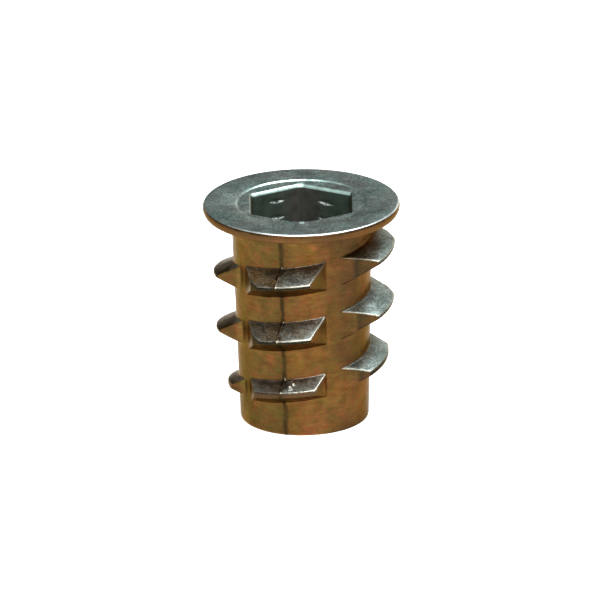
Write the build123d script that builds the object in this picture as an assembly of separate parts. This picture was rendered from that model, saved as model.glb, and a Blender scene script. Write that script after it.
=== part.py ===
from build123d import *
from math import cos, sin, tan, radians, hypot
import os

# A die-cast threaded insert for wood, in one piece. A drafted barrel carries a coarse outside thread
# that four notches, all down its length, break into rows of lobes. On top is a thin round head with
# a hexagon socket, and a bore runs from the socket's floor out through the tail. The bore is plain
# here, at the inner size of its fine thread.
# The origin is the middle of the tail end, and +Z runs up the axis to the head.

# Barrel
total_length = 18.4
barrel_head_radius = 5.70
barrel_tail_radius = 5.20
tail_edge_radius = 0.20

# Head: radii and drops below its face
head_radius = 8.00
head_top_bevel = 0.10
head_edge_drop = 0.49
head_lower_radius = 7.86
head_lower_drop = 0.79
head_thickness = 1.07

# Outside thread, right-hand. The crest crosses the +X side at crest_drop below the head's face, and
# turns are counted down from there. Past run_out_turn the crest runs in towards the barrel, and its
# land grows downwards by run_out_land for each millimetre that it has run in.
thread_pitch = 4.73
crest_drop = 3.48
crest_radius = 7.51
crest_taper = 0.14
run_out_turn = 1.5
run_out_taper = 0.75
run_out_land = 0.30
crest_land = 0.22
upper_flank_angle = 26.0
lower_flank_angle = 31.5
thread_root_depth = 0.50

# The four rows of lobes, named by the side that they face: the azimuth of the row's middle, counted
# down from +X, how far its crest stands out beside the others, and its two end cuts. An end cut is
# given in degrees from the row's middle, at the barrel and at the crest. Three ends have their outer
# corner cut off: the angle in between is where that cut starts, at lobe_corner_radius.
lobe_corner_radius = 7.23
rows = {
    "front": {
        "middle": -107.0,
        "crest_offset": 0.15,
        "lower_end": (-38.5, -19.5, -15.0),
        "upper_end": (37.5, 22.5),
    },
    "right": {
        "middle": -17.0,
        "crest_offset": 0.05,
        "lower_end": (-41.0, -17.5),
        "upper_end": (35.0, 25.0, 20.5),
    },
    "back": {
        "middle": 73.0,
        "crest_offset": 0.08,
        "lower_end": (-38.5, -19.5, -15.0),
        "upper_end": (37.5, 22.5),
    },
    "left": {
        "middle": -197.0,
        "crest_offset": -0.22,
        "lower_end": (-41.0, -20.0),
        "upper_end": (42.0, 31.5),
    },
}
lobes_in_row = 3
lobe_half_span = 50.0
lobe_sections = 7

# Hexagon socket, with a corner towards -Y
socket_across_flats = 7.95
socket_depth = 6.0
socket_corner_radius = 0.25
lead_in_depth = 0.24
lead_in_widening = 0.20
recess_radius = 5.40
recess_depth = 0.14
recess_slope_width = 0.14

# Bore for a 5/16 inch screw with 18 threads to the inch
bore_radius = 3.30
bore_mouth_radius = 4.00
bore_tail_mouth_radius = 4.10

overrun = 1.0


def ring_point(radius, azimuth):
    """Point in plan at a radius and an azimuth in degrees."""
    return (radius * cos(radians(azimuth)), radius * sin(radians(azimuth)))


def barrel_radius(height):
    """Radius of the drafted barrel at a height."""
    draft = (barrel_head_radius - barrel_tail_radius) / (total_length - head_thickness)
    return barrel_tail_radius + draft * height


def barrel_and_head():
    """Drafted barrel and thin head, turned from one outline."""
    top = total_length
    outline = Polyline(
        (0, 0),
        (barrel_tail_radius, 0),
        (barrel_head_radius, top - head_thickness),
        (head_lower_radius, top - head_lower_drop),
        (head_radius, top - head_edge_drop),
        (head_radius, top - head_top_bevel),
        (head_radius - head_top_bevel, top),
        (0, top),
        close=True,
    )
    body = revolve(Plane.XZ * make_face(outline), axis=Axis.Z)
    tail_edge = body.edges().filter_by(GeomType.CIRCLE).sort_by(Axis.Z)[0]
    return fillet(tail_edge, tail_edge_radius)


def turns_down(azimuth):
    """Turns of the thread from the +X side down to an azimuth, which is negative."""
    return -azimuth / 360


def crest_height(azimuth):
    """Height of the crest at an azimuth."""
    return total_length - crest_drop - thread_pitch * turns_down(azimuth)


def lobe_section(azimuth, crest_offset):
    """Section of the thread in the upright plane through the axis at an azimuth."""
    run_out = run_out_taper * max(0, turns_down(azimuth) - run_out_turn)
    crest = crest_radius + crest_offset - crest_taper * turns_down(azimuth) - run_out
    height = crest_height(azimuth)
    root = barrel_radius(height) - thread_root_depth
    upper = height + crest_land / 2
    lower = height - crest_land / 2 - run_out_land * run_out
    corners = Polyline(
        (root, upper + (crest - root) * tan(radians(upper_flank_angle))),
        (crest, upper),
        (crest, lower),
        (root, lower - (crest - root) * tan(radians(lower_flank_angle))),
        close=True,
    )
    return Rot(0, 0, azimuth) * (Plane.XZ * make_face(corners))


def uncut_lobe(middle, crest_offset):
    """One stretch of the thread, longer than the lobe that is cut from it."""
    step = 2 * lobe_half_span / (lobe_sections - 1)
    azimuths = [middle - lobe_half_span + step * index for index in range(lobe_sections)]
    return loft([lobe_section(azimuth, crest_offset) for azimuth in azimuths])


def end_points(middle, end, draft):
    """Corners of an end cut in plan, from the barrel out past the crest."""
    radii = (barrel_head_radius, crest_radius)
    if len(end) == 3:
        radii = (barrel_head_radius, lobe_corner_radius, crest_radius)
    points = [ring_point(radius - draft, middle + angle) for radius, angle in zip(radii, end)]
    (near_x, near_y), (crest_x, crest_y) = points[-2:]
    length = hypot(crest_x - near_x, crest_y - near_y)
    stretch = (length + overrun) / length
    points[-1] = (near_x + stretch * (crest_x - near_x), near_y + stretch * (crest_y - near_y))
    return points


def lobe_prism(middle, row):
    """Prism over one lobe, whose sides are its end cuts. They follow the barrel's draft."""
    draft = barrel_head_radius - barrel_radius(crest_height(middle))
    lower = end_points(middle, row["lower_end"], draft)
    upper = end_points(middle, row["upper_end"], draft)
    plan = Polyline((0, 0), *lower, *reversed(upper), close=True)
    return extrude(make_face(plan), amount=total_length)


def hexagon(height, flats_radius):
    """Hexagon of the socket, with rounded corners, at a height."""
    outline = RegularPolygon(flats_radius, 6, major_radius=False, rotation=30)
    return Plane.XY.offset(height) * fillet(outline.vertices(), socket_corner_radius)


def socket_cut():
    """Hexagon socket with its lead-in, under a shallow round recess with a sloping side."""
    flats_radius = socket_across_flats / 2
    recess_floor = total_length - recess_depth
    lead_in_floor = recess_floor - lead_in_depth
    mouth = hexagon(lead_in_floor, flats_radius)
    lead_in = loft([mouth, hexagon(recess_floor, flats_radius + lead_in_widening)])
    well = extrude(mouth, amount=total_length - socket_depth - lead_in_floor)
    recess = Pos(0, 0, recess_floor) * Cone(
        recess_radius - recess_slope_width,
        recess_radius,
        recess_depth,
        align=(Align.CENTER, Align.CENTER, Align.MIN),
    )
    return well + lead_in + recess


def bore_cut():
    """Bore with a countersunk mouth at the socket's floor and at the tail."""
    floor = total_length - socket_depth
    outline = Polyline(
        (0, -overrun),
        (bore_tail_mouth_radius, -overrun),
        (bore_tail_mouth_radius, 0),
        (bore_radius, bore_tail_mouth_radius - bore_radius),
        (bore_radius, floor - bore_mouth_radius + bore_radius),
        (bore_mouth_radius, floor),
        (0, floor),
        close=True,
    )
    return revolve(Plane.XZ * make_face(outline), axis=Axis.Z)


def threaded_insert():
    """The whole insert as one solid."""
    body = barrel_and_head()
    for row in rows.values():
        for turn in range(lobes_in_row):
            middle = row["middle"] - 360 * turn
            body = body + (uncut_lobe(middle, row["crest_offset"]) & lobe_prism(middle, row))
    return body - socket_cut() - bore_cut()


os.makedirs("parts", exist_ok=True)
export_step(threaded_insert(), "parts/threaded_insert.step")
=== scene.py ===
import math

import bpy
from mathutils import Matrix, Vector


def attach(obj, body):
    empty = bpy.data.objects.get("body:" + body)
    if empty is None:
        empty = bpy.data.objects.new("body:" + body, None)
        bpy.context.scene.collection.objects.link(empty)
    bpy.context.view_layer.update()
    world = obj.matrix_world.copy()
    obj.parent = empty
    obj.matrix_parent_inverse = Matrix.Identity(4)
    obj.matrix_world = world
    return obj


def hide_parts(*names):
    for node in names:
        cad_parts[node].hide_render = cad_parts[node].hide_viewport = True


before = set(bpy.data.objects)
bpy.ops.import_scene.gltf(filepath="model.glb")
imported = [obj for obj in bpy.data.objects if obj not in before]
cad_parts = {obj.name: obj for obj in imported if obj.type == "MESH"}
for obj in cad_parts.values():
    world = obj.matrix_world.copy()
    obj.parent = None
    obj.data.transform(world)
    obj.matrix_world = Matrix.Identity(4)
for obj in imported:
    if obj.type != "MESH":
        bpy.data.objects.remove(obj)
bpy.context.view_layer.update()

mm = 0.001
print("frame loaded")


def selectOnly(piece):
    bpy.ops.object.select_all(action="DESELECT")
    piece.select_set(True)
    bpy.context.view_layer.objects.active = piece


def applyModifier(piece, kind, **settings):
    selectOnly(piece)
    modifier = piece.modifiers.new(kind.title(), kind)
    for name, value in settings.items():
        setattr(modifier, name, value)
    bpy.ops.object.modifier_apply(modifier=modifier.name)


def scaleMesh(piece, factor):
    selectOnly(piece)
    piece.scale = (factor, factor, factor)
    bpy.ops.object.transform_apply(location=True, rotation=True, scale=True)


def linear(hexColour, alpha=1.0):
    channels = [int(hexColour[i:i + 2], 16) / 255 for i in (1, 3, 5)]
    return [c / 12.92 if c <= 0.04045 else ((c + 0.055) / 1.055) ** 2.4 for c in channels] + [alpha]


def addNode(tree, kind, inputs=None, **settings):
    node = tree.nodes.new(kind)
    for name, value in settings.items():
        setattr(node, name, value)
    for socket, value in (inputs or {}).items():
        if isinstance(value, bpy.types.NodeSocket):
            tree.links.new(value, node.inputs[socket])
        else:
            node.inputs[socket].default_value = value
    return node


# Camera: a long lens, nearly without perspective, from a little above
cameraValues = {
    "elevation": 20.2,       # degrees above the horizon
    "roll": 1.0,             # the insert leans this much to the left in the picture
    "lens": 1500.0,          # millimetres, as is the sensor
    "sensor": 36.0,
    "frameWidth": 48.86,     # millimetres that the picture takes in
    "aim": (-0.237, 0.0, 9.882),
    "clipStart": 0.01,       # metres
    "clipEnd": 20.0,
}


def addCamera(values):
    distance = values["frameWidth"] * values["lens"] / values["sensor"] * mm
    tilt = math.radians(values["elevation"])
    aim = Vector(values["aim"]) * mm
    place = aim + distance * Vector((0, -math.cos(tilt), math.sin(tilt)))
    bpy.ops.object.camera_add(location=place)
    camera = bpy.context.object
    camera.name = "studioCamera"
    camera.rotation_mode = "ZYX"
    camera.rotation_euler = (math.pi / 2 - tilt, 0, -math.radians(values["roll"]))
    camera.data.lens = values["lens"]
    camera.data.sensor_width = values["sensor"]
    camera.data.clip_start = values["clipStart"]
    camera.data.clip_end = values["clipEnd"]
    bpy.context.scene.camera = camera


addCamera(cameraValues)
print("camera placed")

# The casting. It is shaped in millimetres, because a voxel can't be under 0.1 mm in metres. Lengths
# here are in millimetres and angles in degrees.
castingValues = {
    "threadPitch": 1.411,          # fine inside thread, 18 turns to the inch
    "threadMinorRadius": 3.30,
    "threadMajorRadius": 4.03,     # the tap just reaches the socket's flats
    "threadStart": -1.55,          # height of the groove on the +X side
    "threadTurns": 15,
    "threadSteps": 72,             # to a turn
    "threadFlank": 30.0,           # degrees that a flank leans
    "grooveShare": 0.375,          # half of the groove's mouth, as a share of the pitch
    "grooveReach": 0.4,            # how far the cutter reaches into the open bore
    "tapMarkRadius": 4.05,         # a little deeper than the thread, so that the marks show
    "tapMarkFloor": 12.6,          # the marks start above the socket's floor
    "tapMarkInner": 3.8,           # nothing nearer to the axis is marked
    "tapMarkSlope": 0.45,          # how steeply a mark closes beside its middle
    "voxel": 0.065,
    "mergeDistance": 0.0005,       # welds the CAD mesh's loose triangles
    "smoothing": 0.5,              # takes the voxels' steps off
    "growth": 0.02,                # makes up for what the smoothing takes off
    "rimRadius": 7.99,             # of the head
    "rimRounding": 0.19,           # of the head's upper edge
    "mouthFlats": 4.175,           # the socket's mouth, middle to flat
    "nearCorner": 4.36,            # radius that the worn corner towards -Y is rounded to
    "mouthReach": 5.2,             # nothing further out is moved with that corner
    "mouthFloor": 12.5,            # nor anything lower
    "cornerTurn": 30.0,            # degrees from a corner of the hexagon to a flat's middle
    "faceHeight": 18.40,           # of the head's face
    "mostTriangles": 190000,
    "seamAzimuth": -107.0,         # the two mould halves met in this upright plane
    "seamHalfWidth": 0.10,
    "seamHeight": 0.07,
    "seamRidge": 0.3,              # part of the half width that the ridge's top takes
    "seamInnerRadius": 4.6,        # the joint shows on the outside only
    "seamTop": 17.2,               # and ends under the head
    "castRelief": 0.03,            # unevenness of the cast surface
    "castReliefSize": 0.9,
    "castReliefDetail": 2,
    # flash left on the lowest front lobe: azimuth, radius, height, size and rise
    "flash": [
        (-106.0, 5.80, 4.85, 0.24, 0.18),
        (-103.5, 5.62, 4.95, 0.24, 0.22),
        (-100.5, 5.66, 4.95, 0.24, 0.22),
        (-99.0, 5.95, 4.80, 0.26, 0.22),
        (-101.5, 6.30, 4.62, 0.36, 0.28),
        (-105.0, 6.40, 4.60, 0.26, 0.16),
    ],
}


def addThreadCutter(values):
    inner = values["threadMinorRadius"] - values["grooveReach"]
    half = values["threadPitch"] * values["grooveShare"]
    depth = values["threadMajorRadius"] - values["threadMinorRadius"]
    tip = half - depth * math.tan(math.radians(values["threadFlank"]))
    profile = [
        (inner, -half), (values["threadMinorRadius"], -half), (values["threadMajorRadius"], -tip),
        (values["threadMajorRadius"], tip), (values["threadMinorRadius"], half), (inner, half),
    ]
    bpy.ops.object.select_all(action="DESELECT")
    bpy.ops.mesh.primitive_circle_add(vertices=len(profile), radius=1)
    cutter = bpy.context.object
    for vertex, (radius, height) in zip(cutter.data.vertices, profile):
        vertex.co = (radius, 0, height + values["threadStart"])
    applyModifier(
        cutter, "SCREW", axis="Z", angle=2 * math.pi, screw_offset=values["threadPitch"],
        iterations=values["threadTurns"], steps=values["threadSteps"], render_steps=values["threadSteps"],
        use_smooth_shade=False,
    )
    bpy.ops.object.mode_set(mode="EDIT")
    bpy.ops.mesh.select_all(action="SELECT")
    bpy.ops.mesh.fill_holes(sides=len(profile))
    bpy.ops.mesh.normals_make_consistent(inside=False)
    bpy.ops.object.mode_set(mode="OBJECT")
    return cutter


def raiseSeam(piece, values):
    azimuth = math.radians(values["seamAzimuth"])
    across = Vector((-math.sin(azimuth), math.cos(azimuth), 0))
    selectOnly(piece)
    for offset in (-values["seamHalfWidth"], 0, values["seamHalfWidth"]):
        bpy.ops.object.mode_set(mode="EDIT")
        bpy.ops.mesh.select_all(action="SELECT")
        bpy.ops.mesh.bisect(plane_co=across * offset, plane_no=across)
        bpy.ops.object.mode_set(mode="OBJECT")
    raised = []
    for vertex in piece.data.vertices:
        nearSeam = abs(vertex.co.dot(across)) < values["seamRidge"] * values["seamHalfWidth"]
        outside = math.hypot(vertex.co.x, vertex.co.y) > values["seamInnerRadius"]
        if nearSeam and outside and vertex.co.z < values["seamTop"]:
            raised.append((vertex.index, vertex.normal.copy()))
    for index, normal in raised:
        piece.data.vertices[index].co += normal * values["seamHeight"]


def flattenEnds(piece, values):
    for vertex in piece.data.vertices:
        vertex.co.z = min(max(vertex.co.z, 0), values["faceHeight"])


def roundRim(piece, values):
    rounding = values["rimRounding"]
    middleRadius = values["rimRadius"] - rounding
    middleHeight = values["faceHeight"] - rounding
    for vertex in piece.data.vertices:
        radius = math.hypot(vertex.co.x, vertex.co.y)
        out = radius - middleRadius
        up = vertex.co.z - middleHeight
        if out > 0 and up > 0:
            shrink = min(1, rounding / math.hypot(out, up))
            factor = (middleRadius + out * shrink) / radius
            vertex.co.x *= factor
            vertex.co.y *= factor
            vertex.co.z = middleHeight + up * shrink


def roundNearCorner(piece, values):
    limit = values["nearCorner"]
    reach = values["mouthReach"]
    cornerTurn = math.radians(values["cornerTurn"])
    for vertex in piece.data.vertices:
        radius = math.hypot(vertex.co.x, vertex.co.y)
        turned = abs(math.atan2(vertex.co.x, -vertex.co.y))
        if vertex.co.z < values["mouthFloor"] or radius > reach or turned > cornerTurn:
            continue
        edge = values["mouthFlats"] / math.cos(cornerTurn - turned)
        if edge < limit:
            continue
        if radius <= edge:
            target = min(radius, limit)
        else:
            target = limit + (radius - edge) * (reach - limit) / (reach - edge)
        vertex.co.x *= target / radius
        vertex.co.y *= target / radius


def cutTapMarks(piece, values):
    pitch = values["threadPitch"]
    for vertex in piece.data.vertices:
        radius = math.hypot(vertex.co.x, vertex.co.y)
        onFlat = values["tapMarkInner"] < radius < values["tapMarkRadius"]
        if vertex.co.z < values["tapMarkFloor"] or not onFlat:
            continue
        turn = math.atan2(vertex.co.y, vertex.co.x) / (2 * math.pi)
        height = (vertex.co.z - values["threadStart"]) / pitch - turn
        fromGroove = abs(height - round(height)) * pitch
        groove = values["tapMarkRadius"] - values["tapMarkSlope"] * fromGroove
        if groove > radius:
            vertex.co.x *= groove / radius
            vertex.co.y *= groove / radius


def raiseFlash(piece, values):
    lumps = []
    for azimuth, radius, height, size, rise in values["flash"]:
        angle = math.radians(azimuth)
        lumps.append((Vector((radius * math.cos(angle), radius * math.sin(angle), height)), size, rise))
    for vertex in piece.data.vertices:
        for centre, size, rise in lumps:
            distance = (vertex.co - centre).length
            if distance < size:
                vertex.co.z += rise * (1 - (distance / size) ** 2) ** 2


def addCasting(values):
    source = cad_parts["threaded_insert"]
    casting = bpy.data.objects.new("insert_casting", source.data.copy())
    bpy.context.scene.collection.objects.link(casting)
    casting.data.materials.clear()
    scaleMesh(casting, 1 / mm)
    bpy.ops.object.mode_set(mode="EDIT")
    bpy.ops.mesh.select_all(action="SELECT")
    bpy.ops.mesh.remove_doubles(threshold=values["mergeDistance"])
    bpy.ops.object.mode_set(mode="OBJECT")

    cutter = addThreadCutter(values)
    applyModifier(casting, "BOOLEAN", operation="DIFFERENCE", solver="EXACT", object=cutter)
    bpy.data.objects.remove(cutter)
    print("inside thread cut:", len(casting.data.polygons), "faces")

    applyModifier(casting, "REMESH", mode="VOXEL", voxel_size=values["voxel"])
    applyModifier(casting, "SMOOTH", factor=values["smoothing"], iterations=1)
    print("remeshed:", len(casting.data.polygons), "faces")

    relief = bpy.data.textures.new("castRelief", "CLOUDS")
    relief.noise_scale = values["castReliefSize"]
    relief.noise_depth = values["castReliefDetail"]
    applyModifier(
        casting, "DISPLACE", texture=relief, texture_coords="LOCAL", strength=values["castRelief"],
        mid_level=0.5 - values["growth"] / values["castRelief"],
    )
    flattenEnds(casting, values)
    roundRim(casting, values)
    roundNearCorner(casting, values)
    cutTapMarks(casting, values)
    raiseFlash(casting, values)
    raiseSeam(casting, values)
    flattenEnds(casting, values)
    triangles = sum(len(face.vertices) - 2 for face in casting.data.polygons)
    if triangles > values["mostTriangles"]:
        applyModifier(casting, "DECIMATE", ratio=values["mostTriangles"] / triangles)
    scaleMesh(casting, mm)
    bpy.ops.object.shade_smooth()
    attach(casting, "root")
    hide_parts("threaded_insert")
    print("casting finished:", len(casting.data.polygons), "faces")
    return casting


casting = addCasting(castingValues)

# Passivated zinc: a die-cast zinc alloy with a thin chromate skin, which gives a metal that is half
# dull and never quite one colour. On the walls it is olive to gold left of the joint line and orange to
# russet right of it. The faces that look up are painted a cold grey as a painted reflection of the light
# overhead, and the left lobes' tops are painted dark as painted shade. Outer edges and the back of the
# socket's lead-in carry painted highlights.
zincValues = {
    "colours": {
        # walls
        "olive": "#4c3d1f",
        "gold": "#574021",
        "orange": "#62461f",
        "russet": "#5b3b23",
        "rust": "#6c3c22",
        "moss": "#544a20",
        # painted shade in the notches beside the right lobes
        "notchShadeBrown": "#3c2e1b",
        # painted shade on the side of the head's rim
        "rimShadeBrown": "#4e3622",
        # faces that look up, the head's face too: painted reflection of the light overhead, with painted
        # shade on the left lobes and the front row's left half
        # painted shade: the left lobes' tops and the front row's left half are painted darker than the right
        "leftLobe": "#2b2620",
        "frontLeftTopShade": "#989991",
        "frontRight": "#a6b4b4",
        "rightLobeTopReflection": "#8f9d99",
        "headGrey": "#9cb2b0",
        "headTeal": "#83aaa8",
        "headRose": "#a0a4a6",
        # socket, and the painted highlights on the lead-in, the recess, the head's edge and the tap marks
        "socketGreen": "#5a6a5f",
        "socketGrey": "#6c6a64",
        "socketDark": "#3a403a",
        "highlightMint": "#cdeee5",
        "highlightWhite": "#e6f2f0",
        # crests, dirt in the joint line, painted shade for inside corners and end cuts, and painted edge
        # highlights and bright specks
        "crestDark": "#1f1f18",
        "crestBrown": "#4a3826",
        "seamDirt": "#2c2212",
        "paintedShadeBrown": "#3a2c1c",
        "highlightAndSpeckCream": "#e6e0cc",
    },
    "edgeTint": "#d4c8b8",                   # the metal's gloss at a glancing angle
    # size in millimetres, detail, roughness and distortion, and how much longer than high it is
    "patterns": {
        "blotch": (2.6, 3.0, 0.60, 0.0, 1),
        "patch": (1.5, 3.0, 0.60, 0.4, 1),
        "stain": (0.9, 4.0, 0.65, 0.0, 1),
        "fleck": (0.5, 2.0, 0.60, 0.0, 1),
        "streak": (0.30, 3.0, 0.60, 0.8, 5),     # flow marks of the casting
        "grain": (0.20, 2.0, 0.60, 0.0, 1),      # cast grain, drawn as coarse as it needs to show
    },
    "seamWander": (0.3, 0.7, -0.12, 0.12),   # range of the stain, and how far the joint line strays
    "seamShift": 0.04,                       # dirt lies this much to the left of the line
    "highlightSide": (0.45, -0.89, 0),            # the painted highlight on the head's edge is brightest towards this side
    "shadeReach": 2.6,                       # how far the painted shade reaches out of an inside corner
    "edgeWidth": 0.34,                       # how far in from an outer edge the painted edge highlight reaches
    "occlusionSamples": 12,
    "edgeRounding": 0.10,                    # radius that edges are shaded with
    "roundingSamples": 8,
    "relief": {"stain": 0.06, "streak": 0.03, "grain": 0.02},
    # Each mask is the product of its parts, or their sum, difference or greatest where that is named
    # first. A part is another mask, or a measure with the value where it gives 0 and the value where it
    # gives 1, and then the two levels where they aren't 0 and 1. Height over the tail, radius from the
    # axis, across to the right of the joint line and sideways from the middle are in millimetres. Up,
    # out, front and highlightSide say how much a face looks that way.
    "masks": {
        "rightHalf": [("across", -0.10, 0.10)],
        "onHead": [("height", 17.0, 17.4)],
        "onLobe": [("height", 17.2, 17.0)],
        "inside": [("radius", 5.0, 4.95)],
        "outside": [("radius", 4.95, 5.0)],
        # walls
        "cloud": [("blotch", 0.36, 0.64)],
        "rustPatch": [("patch", 0.52, 0.66, 0.0, 0.45)],
        "mossPatch": [("patch", 0.48, 0.36, 0.0, 0.45)],
        "rustFleck": [("fleck", 0.54, 0.62, 0.0, 0.3)],
        "mossFleck": [("fleck", 0.46, 0.38, 0.0, 0.3)],
        "rustGrain": [("grain", 0.54, 0.66, 0.0, 0.25)],
        "mossGrain": [("grain", 0.46, 0.34, 0.0, 0.25)],
        # painted shade: the wall is painted darker in the notches beside the right lobes
        "notchShade": [("across", 2.6, 4.4), ("across", 5.6, 5.2), ("height", 3.4, 6.5, 0.0, 0.6)],
        "underside": [("up", -0.1, -0.5), ("across", 3.2, 2.6)],
        # painted light: the lower faces of the front and left lobes are made lighter, standing in for light
        # from the floor below
        "paintedUndersideLight": [("underside", 0.0, 1.0, 1.0, 1.7)],
        "wallShade": [("stain", 0.35, 0.68, 0.74, 1.22), ("streak", 0.35, 0.65, 0.86, 1.13)],
        # painted shade: the side of the head's rim is painted darker brown, most on the left
        "rimSideShade": [("radius", 7.5, 7.8), ("height", 17.3, 17.5), ("across", -5.0, 0.0, 0.9, 0.6)],
        # faces that look up: painted grey as a painted reflection of the light overhead, with less of it near
        # the lobes' roots
        "pastLeftRow": [("across", -5.2, -4.2)],
        "pastFrontRow": [("across", 3.9, 4.4)],
        "lobeSpeckle": [("grain", 0.35, 0.66, 0.62, 1.45), ("streak", 0.35, 0.65, 0.7, 1.3)],
        "headTint": ["ADD", "cloud", ("grain", 0.40, 0.60, -0.5, 0.5)],
        "headStain": [("stain", 0.38, 0.62)],
        "headSpeckle": [("grain", 0.35, 0.66, 0.62, 1.38), ("streak", 0.35, 0.65, 0.82, 1.16)],
        "offRoot": ["MAXIMUM", "onHead", ("radius", 5.5, 6.3, 0.5, 1.0)],
        # painted shade: the top right lobe's top keeps less of the painted reflection near its root, under
        # the head
        "topRightLobeShade": [
            ("height", 12.5, 13.0), ("across", 4.0, 4.4), "onLobe", ("radius", 5.8, 7.2, 0.70, 0.0),
        ],
        "topReflectionShare": ["SUBTRACT", "offRoot", "topRightLobeShade"],
        # painted reflection: where this mask is, faces that look up take the grey of the light overhead
        "paintedTopReflection": [("up", 0.45, 0.8), ("topReflectionShare", 0.0, 1.0)],
        # socket, and painted highlights on the lead-in, the recess, the head's edge and the tap marks
        "socket": ["inside", ("height", 11.0, 12.3), ("up", 0.85, 0.72)],
        "offCorner": [("sideways", 0.5, 2.2)],
        "inCorner": [("sideways", 0.28, 0.10), "inside"],
        "cornerShade": [("inCorner", 0.0, 1.0, 0.0, 0.5)],
        "leadIn": ["socket", ("height", 17.98, 18.04)],
        # painted highlight where the lead-in faces the front; the rest of the lead-in is darker
        "leadInHighlight": ["leadIn", ("front", 0.05, 0.3)],
        # painted highlight on the recess's side, where it faces the front
        "recessHighlight": [
            "onHead", "outside", ("radius", 5.5, 5.45), ("up", 0.98, 0.90), ("front", 0.2, 0.5),
        ],
        # painted highlight along the head's edge
        "rimHighlight": [
            "onHead", ("radius", 7.70, 7.74), ("up", 0.42, 0.6), ("up", 0.98, 0.93), ("highlightSide", 0.12, 0.36),
        ],
        # painted glints on the tap marks' upward faces
        "tapMarkGlint": ["socket", ("up", 0.12, 0.35), ("height", 17.8, 17.7)],
        # crest lands of the lobes, where the skin has gone dark
        "crest": ["onLobe", ("radius", 6.1, 6.3), ("out", 0.68, 0.86)],
        "lowCrest": [("height", 5.8, 5.2), ("across", 4.0, 3.6)],
        # dirt in the joint line and beside it
        "seamLine": ["MAXIMUM", ("fromSeam", 0.30, 0.09), ("fromSeam", 0.9, 0.1, 0.0, 0.3)],
        "seam": ["seamLine", "onLobe", "outside", ("stain", 0.3, 0.55, 0.55, 1.0)],
        # painted shade in inside corners and on the lobes' end cuts
        "insideCornerShade": [
            "outside", ("openness", 0.95, 0.30), ("across", 3.0, 4.4, 0.15, 1.0), ("up", 0.3, 0.8, 1.0, 0.2),
        ],
        "endCutShade": [
            "onLobe", ("out", 0.88, 0.76), ("up", 0.45, 0.2), ("radius", 5.75, 6.0),
            ("across", -3.5, -3.0, 0.27, 0.45),
        ],
        # painted light: the shaded places under the roots of the front and left lobes are made lighter
        "paintedFillLight": [
            "outside", ("openness", 0.9, 0.4), ("across", 3.2, 2.6), ("up", 0.35, 0.1),
            ("radius", 6.0, 5.8), ("across", -3.9, -3.4, 1.7, 0.3),
        ],
        "paintedFillLightLevel": [("paintedFillLight", 0.0, 2.0, 1.0, 3.0)],
        # painted highlights along the outer edges, wider on the right half, and bright specks beside the
        # joint line
        "wideRightEdgeHighlight": [("thickness", 0.90, 0.60), "rightHalf"],
        "anyEdge": ["MAXIMUM", ("thickness", 0.75, 0.42), "wideRightEdgeHighlight"],
        "edge": [
            "anyEdge", "onLobe", ("stain", 0.36, 0.55, 0.45, 1.0), ("up", 0.1, 0.35),
            ("across", -1.6, -0.6, 0.15, 1.0),
        ],
        "specks": [
            "onLobe", ("grain", 0.56, 0.64), ("across", -1.6, -0.9), ("across", 0.3, 0.0),
            ("radius", 6.5, 6.9), ("up", 0.4, 0.7, 0.0, 0.8),
        ],
        # gloss and relief: the socket and bore are duller, with less relief
        "skinGloss": [("stain", 0.3, 0.7, 0.26, 0.43)],
        "socketGloss": ["inside", ("height", 18.0, 17.9, 0.0, 0.25)],
        "cornerGloss": [("inCorner", 0.0, 1.0, 0.0, 0.3)],
        "roughness": ["ADD", "skinGloss", "socketGloss", "cornerGloss"],
        "reliefStrength": [("inside", 0.0, 1.0, 0.35, 0.08)],
    },
    # Each skin starts with a colour or a skin. A pair then lays a colour or a skin over it where the
    # mask is, and a mask alone makes it lighter or darker.
    "skins": {
        "leftWall": ["olive", ("cloud", "gold")],
        "rightWall": ["orange", ("cloud", "russet")],
        "wall": [
            "leftWall", ("rightHalf", "rightWall"), ("rustPatch", "rust"), ("mossPatch", "moss"),
            ("rustFleck", "rust"), ("mossFleck", "moss"), ("rustGrain", "rust"), ("mossGrain", "moss"),
            ("notchShade", "notchShadeBrown"), "paintedUndersideLight", "wallShade", ("rimSideShade", "rimShadeBrown"),
        ],
        "leftTop": ["leftLobe", ("pastLeftRow", "frontLeftTopShade")],
        "rightTop": ["frontRight", ("pastFrontRow", "rightLobeTopReflection")],
        "lobeTop": ["leftTop", ("rightHalf", "rightTop"), "lobeSpeckle"],
        "headCloud": ["headTeal", ("headTint", "headRose")],
        "headTop": ["headCloud", ("headStain", "headGrey"), "headSpeckle"],
        "reflectedTopSkin": ["lobeTop", ("onHead", "headTop")],
        "socketWall": ["socketGrey", ("offCorner", "socketGreen"), ("cornerShade", "socketDark")],
        "crestSkin": ["crestDark", ("lowCrest", "crestBrown")],
        "whole": [
            "wall", ("paintedTopReflection", "reflectedTopSkin"), ("socket", "socketWall"), ("leadIn", "socketDark"),
            ("leadInHighlight", "highlightMint"), ("recessHighlight", "highlightMint"), ("rimHighlight", "highlightWhite"), ("tapMarkGlint", "highlightWhite"),
            ("crest", "crestSkin"), ("seam", "seamDirt"), ("insideCornerShade", "paintedShadeBrown"),
            ("endCutShade", "paintedShadeBrown"), "paintedFillLightLevel", ("edge", "highlightAndSpeckCream"), ("specks", "highlightAndSpeckCream"),
        ],
    },
}


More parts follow.
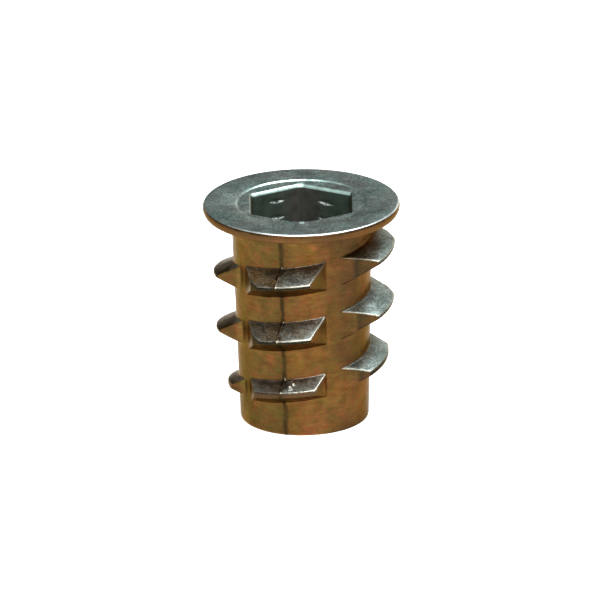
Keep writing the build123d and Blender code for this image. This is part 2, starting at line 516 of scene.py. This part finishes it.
def measureSurface(tree, values):
    spot = addNode(tree, "ShaderNodeTexCoord").outputs["Object"]
    inputs = {0: spot, 1: (1 / mm, 1 / mm, 1 / mm)}
    place = addNode(tree, "ShaderNodeVectorMath", inputs, operation="MULTIPLY").outputs[0]
    flat = addNode(tree, "ShaderNodeVectorMath", {0: place, 1: (1, 1, 0)}, operation="MULTIPLY").outputs[0]
    outward = addNode(tree, "ShaderNodeVectorMath", {0: flat}, operation="NORMALIZE").outputs[0]
    normal = addNode(tree, "ShaderNodeNewGeometry").outputs["Normal"]
    azimuth = math.radians(castingValues["seamAzimuth"])
    directions = {
        "height": (place, (0, 0, 1)),
        "radius": (flat, outward),
        "fromPlane": (place, (-math.sin(azimuth), math.cos(azimuth), 0)),
        "right": (place, (1, 0, 0)),
        "up": (normal, (0, 0, 1)),
        "out": (normal, outward),
        "front": (normal, (0, -1, 0)),
        "highlightSide": (normal, values["highlightSide"]),
    }
    surface = {}
    for name, (vector, direction) in directions.items():
        inputs = {0: vector, 1: direction}
        measure = addNode(tree, "ShaderNodeVectorMath", inputs, operation="DOT_PRODUCT")
        surface[name] = measure.outputs["Value"]

    for name, (size, detail, roughness, distortion, stretch) in values["patterns"].items():
        inputs = {0: place, 1: (1 / stretch, 1 / stretch, 1)}
        stretched = addNode(tree, "ShaderNodeVectorMath", inputs, operation="MULTIPLY").outputs[0]
        surface[name] = addNode(tree, "ShaderNodeTexNoise", {
            "Vector": stretched, "Scale": 1 / size, "Detail": detail, "Roughness": roughness,
            "Distortion": distortion,
        }).outputs["Fac"]

    # the joint line wanders a little
    low, high, left, right = values["seamWander"]
    inputs = {0: surface["stain"], 1: low, 2: high, 3: left, 4: right}
    wander = addNode(tree, "ShaderNodeMapRange", inputs).outputs[0]
    inputs = {0: surface["fromPlane"], 1: wander}
    surface["across"] = addNode(tree, "ShaderNodeMath", inputs, operation="ADD").outputs[0]
    inputs = {0: surface["across"], 1: values["seamShift"]}
    inputs = {0: addNode(tree, "ShaderNodeMath", inputs, operation="ADD").outputs[0]}
    surface["fromSeam"] = addNode(tree, "ShaderNodeMath", inputs, operation="ABSOLUTE").outputs[0]
    inputs = {0: surface["right"]}
    surface["sideways"] = addNode(tree, "ShaderNodeMath", inputs, operation="ABSOLUTE").outputs[0]

    for name, reach, inwards in (("openness", "shadeReach", False), ("thickness", "edgeWidth", True)):
        inputs = {"Distance": values[reach] * mm}
        settings = {"samples": values["occlusionSamples"], "inside": inwards}
        surface[name] = addNode(tree, "ShaderNodeAmbientOcclusion", inputs, **settings).outputs["AO"]
    return surface


def addMasks(tree, surface, masks):
    for name, parts in masks.items():
        operation = "MULTIPLY"
        if parts[0] in ("ADD", "SUBTRACT", "MAXIMUM"):
            operation, *parts = parts
        mask = None
        for part in parts:
            if isinstance(part, str):
                value = surface[part]
            else:
                measure, zero, full, *levels = part
                start, end = levels or (0.0, 1.0)
                inputs = {0: surface[measure], 1: zero, 2: full, 3: start, 4: end}
                value = addNode(tree, "ShaderNodeMapRange", inputs).outputs[0]
            if mask is not None:
                value = addNode(tree, "ShaderNodeMath", {0: mask, 1: value}, operation=operation).outputs[0]
            mask = value
        surface[name] = mask


def addSkins(tree, surface, colours, skins):
    made = {name: linear(colour) for name, colour in colours.items()}
    for name, (first, *layers) in skins.items():
        skin = made[first]
        for layer in layers:
            if isinstance(layer, str):
                inputs = {0: skin, "Scale": surface[layer]}
                skin = addNode(tree, "ShaderNodeVectorMath", inputs, operation="SCALE").outputs[0]
            else:
                mask, over = layer
                inputs = {0: surface[mask], 6: skin, 7: made[over]}
                skin = addNode(tree, "ShaderNodeMix", inputs, data_type="RGBA").outputs[2]
        made[name] = skin
    return made["whole"]


def addZinc(values):
    material = bpy.data.materials.new("passivatedZincDieCast")
    material.use_nodes = True
    tree = material.node_tree
    tree.nodes.clear()
    surface = measureSurface(tree, values)
    addMasks(tree, surface, values["masks"])
    skin = addSkins(tree, surface, values["colours"], values["skins"])

    inputs = {"Radius": values["edgeRounding"] * mm}
    relief = addNode(tree, "ShaderNodeBevel", inputs, samples=values["roundingSamples"]).outputs[0]
    for pattern, depth in values["relief"].items():
        relief = addNode(tree, "ShaderNodeBump", {
            "Height": surface[pattern], "Strength": surface["reliefStrength"], "Distance": depth * mm,
            "Normal": relief,
        }).outputs[0]
    shader = addNode(tree, "ShaderNodeBsdfPrincipled", {
        "Base Color": skin, "Metallic": 1.0, "Roughness": surface["roughness"], "Normal": relief,
        "Specular Tint": linear(values["edgeTint"]),
    })
    addNode(tree, "ShaderNodeOutputMaterial", {"Surface": shader.outputs[0]})
    return material


casting.data.materials.append(addZinc(zincValues))
print("zinc finished")

# Studio: a plain pale floor, a soft box in front, a strip overhead, and a small box and a card at the
# back right. Places and sizes are in metres, powers in watts.
studioValues = {
    "floorColour": "#f4f4f2",
    "floorRoughness": 0.9,
    "floorGlow": 0.75,        # the floor is a light table, so shadows stay faint
    "floorSize": 6.0,
    "room": 0.30,             # strength of the white light from all round
    "lights": {
        "frontSoftBox": {
            "place": (0.1, -0.9, 0.6), "aim": (0, 0, 0.01), "size": (1.3, 0.6), "power": 10.0,
        },
        "overheadStrip": {
            "place": (0.12, -0.16, 0.88), "aim": (0, 0, 0), "size": (1.3, 0.42), "power": 11.0,
        },
        "topRightBox": {
            "place": (0.32, 0.32, 0.8), "aim": (0, 0, 0), "size": (0.45, 0.35), "power": 1.2,
        },
        "backCard": {
            "place": (0.45, 0.95, 0.25), "aim": (0, 0, 0.01), "size": (0.8, 0.4), "power": 1.2,
        },
    },
}


def addStudio(values):
    bpy.ops.object.select_all(action="DESELECT")
    bpy.ops.mesh.primitive_plane_add(size=values["floorSize"])
    floor = bpy.context.object
    floor.name = "studio_floor"
    paper = bpy.data.materials.new("whitePaperSweep")
    paper.use_nodes = True
    shader = paper.node_tree.nodes["Principled BSDF"]
    shader.inputs["Base Color"].default_value = linear(values["floorColour"])
    shader.inputs["Roughness"].default_value = values["floorRoughness"]
    shader.inputs["Emission Color"].default_value = linear(values["floorColour"])
    shader.inputs["Emission Strength"].default_value = values["floorGlow"]
    floor.data.materials.append(paper)

    for name, light in values["lights"].items():
        place = Vector(light["place"])
        bpy.ops.object.light_add(type="AREA", location=place)
        lamp = bpy.context.object
        lamp.name = name
        lamp.rotation_euler = (Vector(light["aim"]) - place).to_track_quat("-Z", "Y").to_euler()
        lamp.data.shape = "RECTANGLE"
        lamp.data.size, lamp.data.size_y = light["size"]
        lamp.data.energy = light["power"]
        lamp.visible_camera = False

    world = bpy.data.worlds.new("studioRoom")
    world.use_nodes = True
    background = world.node_tree.nodes["Background"]
    background.inputs["Color"].default_value = (1, 1, 1, 1)
    background.inputs["Strength"].default_value = values["room"]
    bpy.context.scene.world = world


addStudio(studioValues)
bpy.context.scene.view_settings.view_transform = "Standard"
print("studio finished")
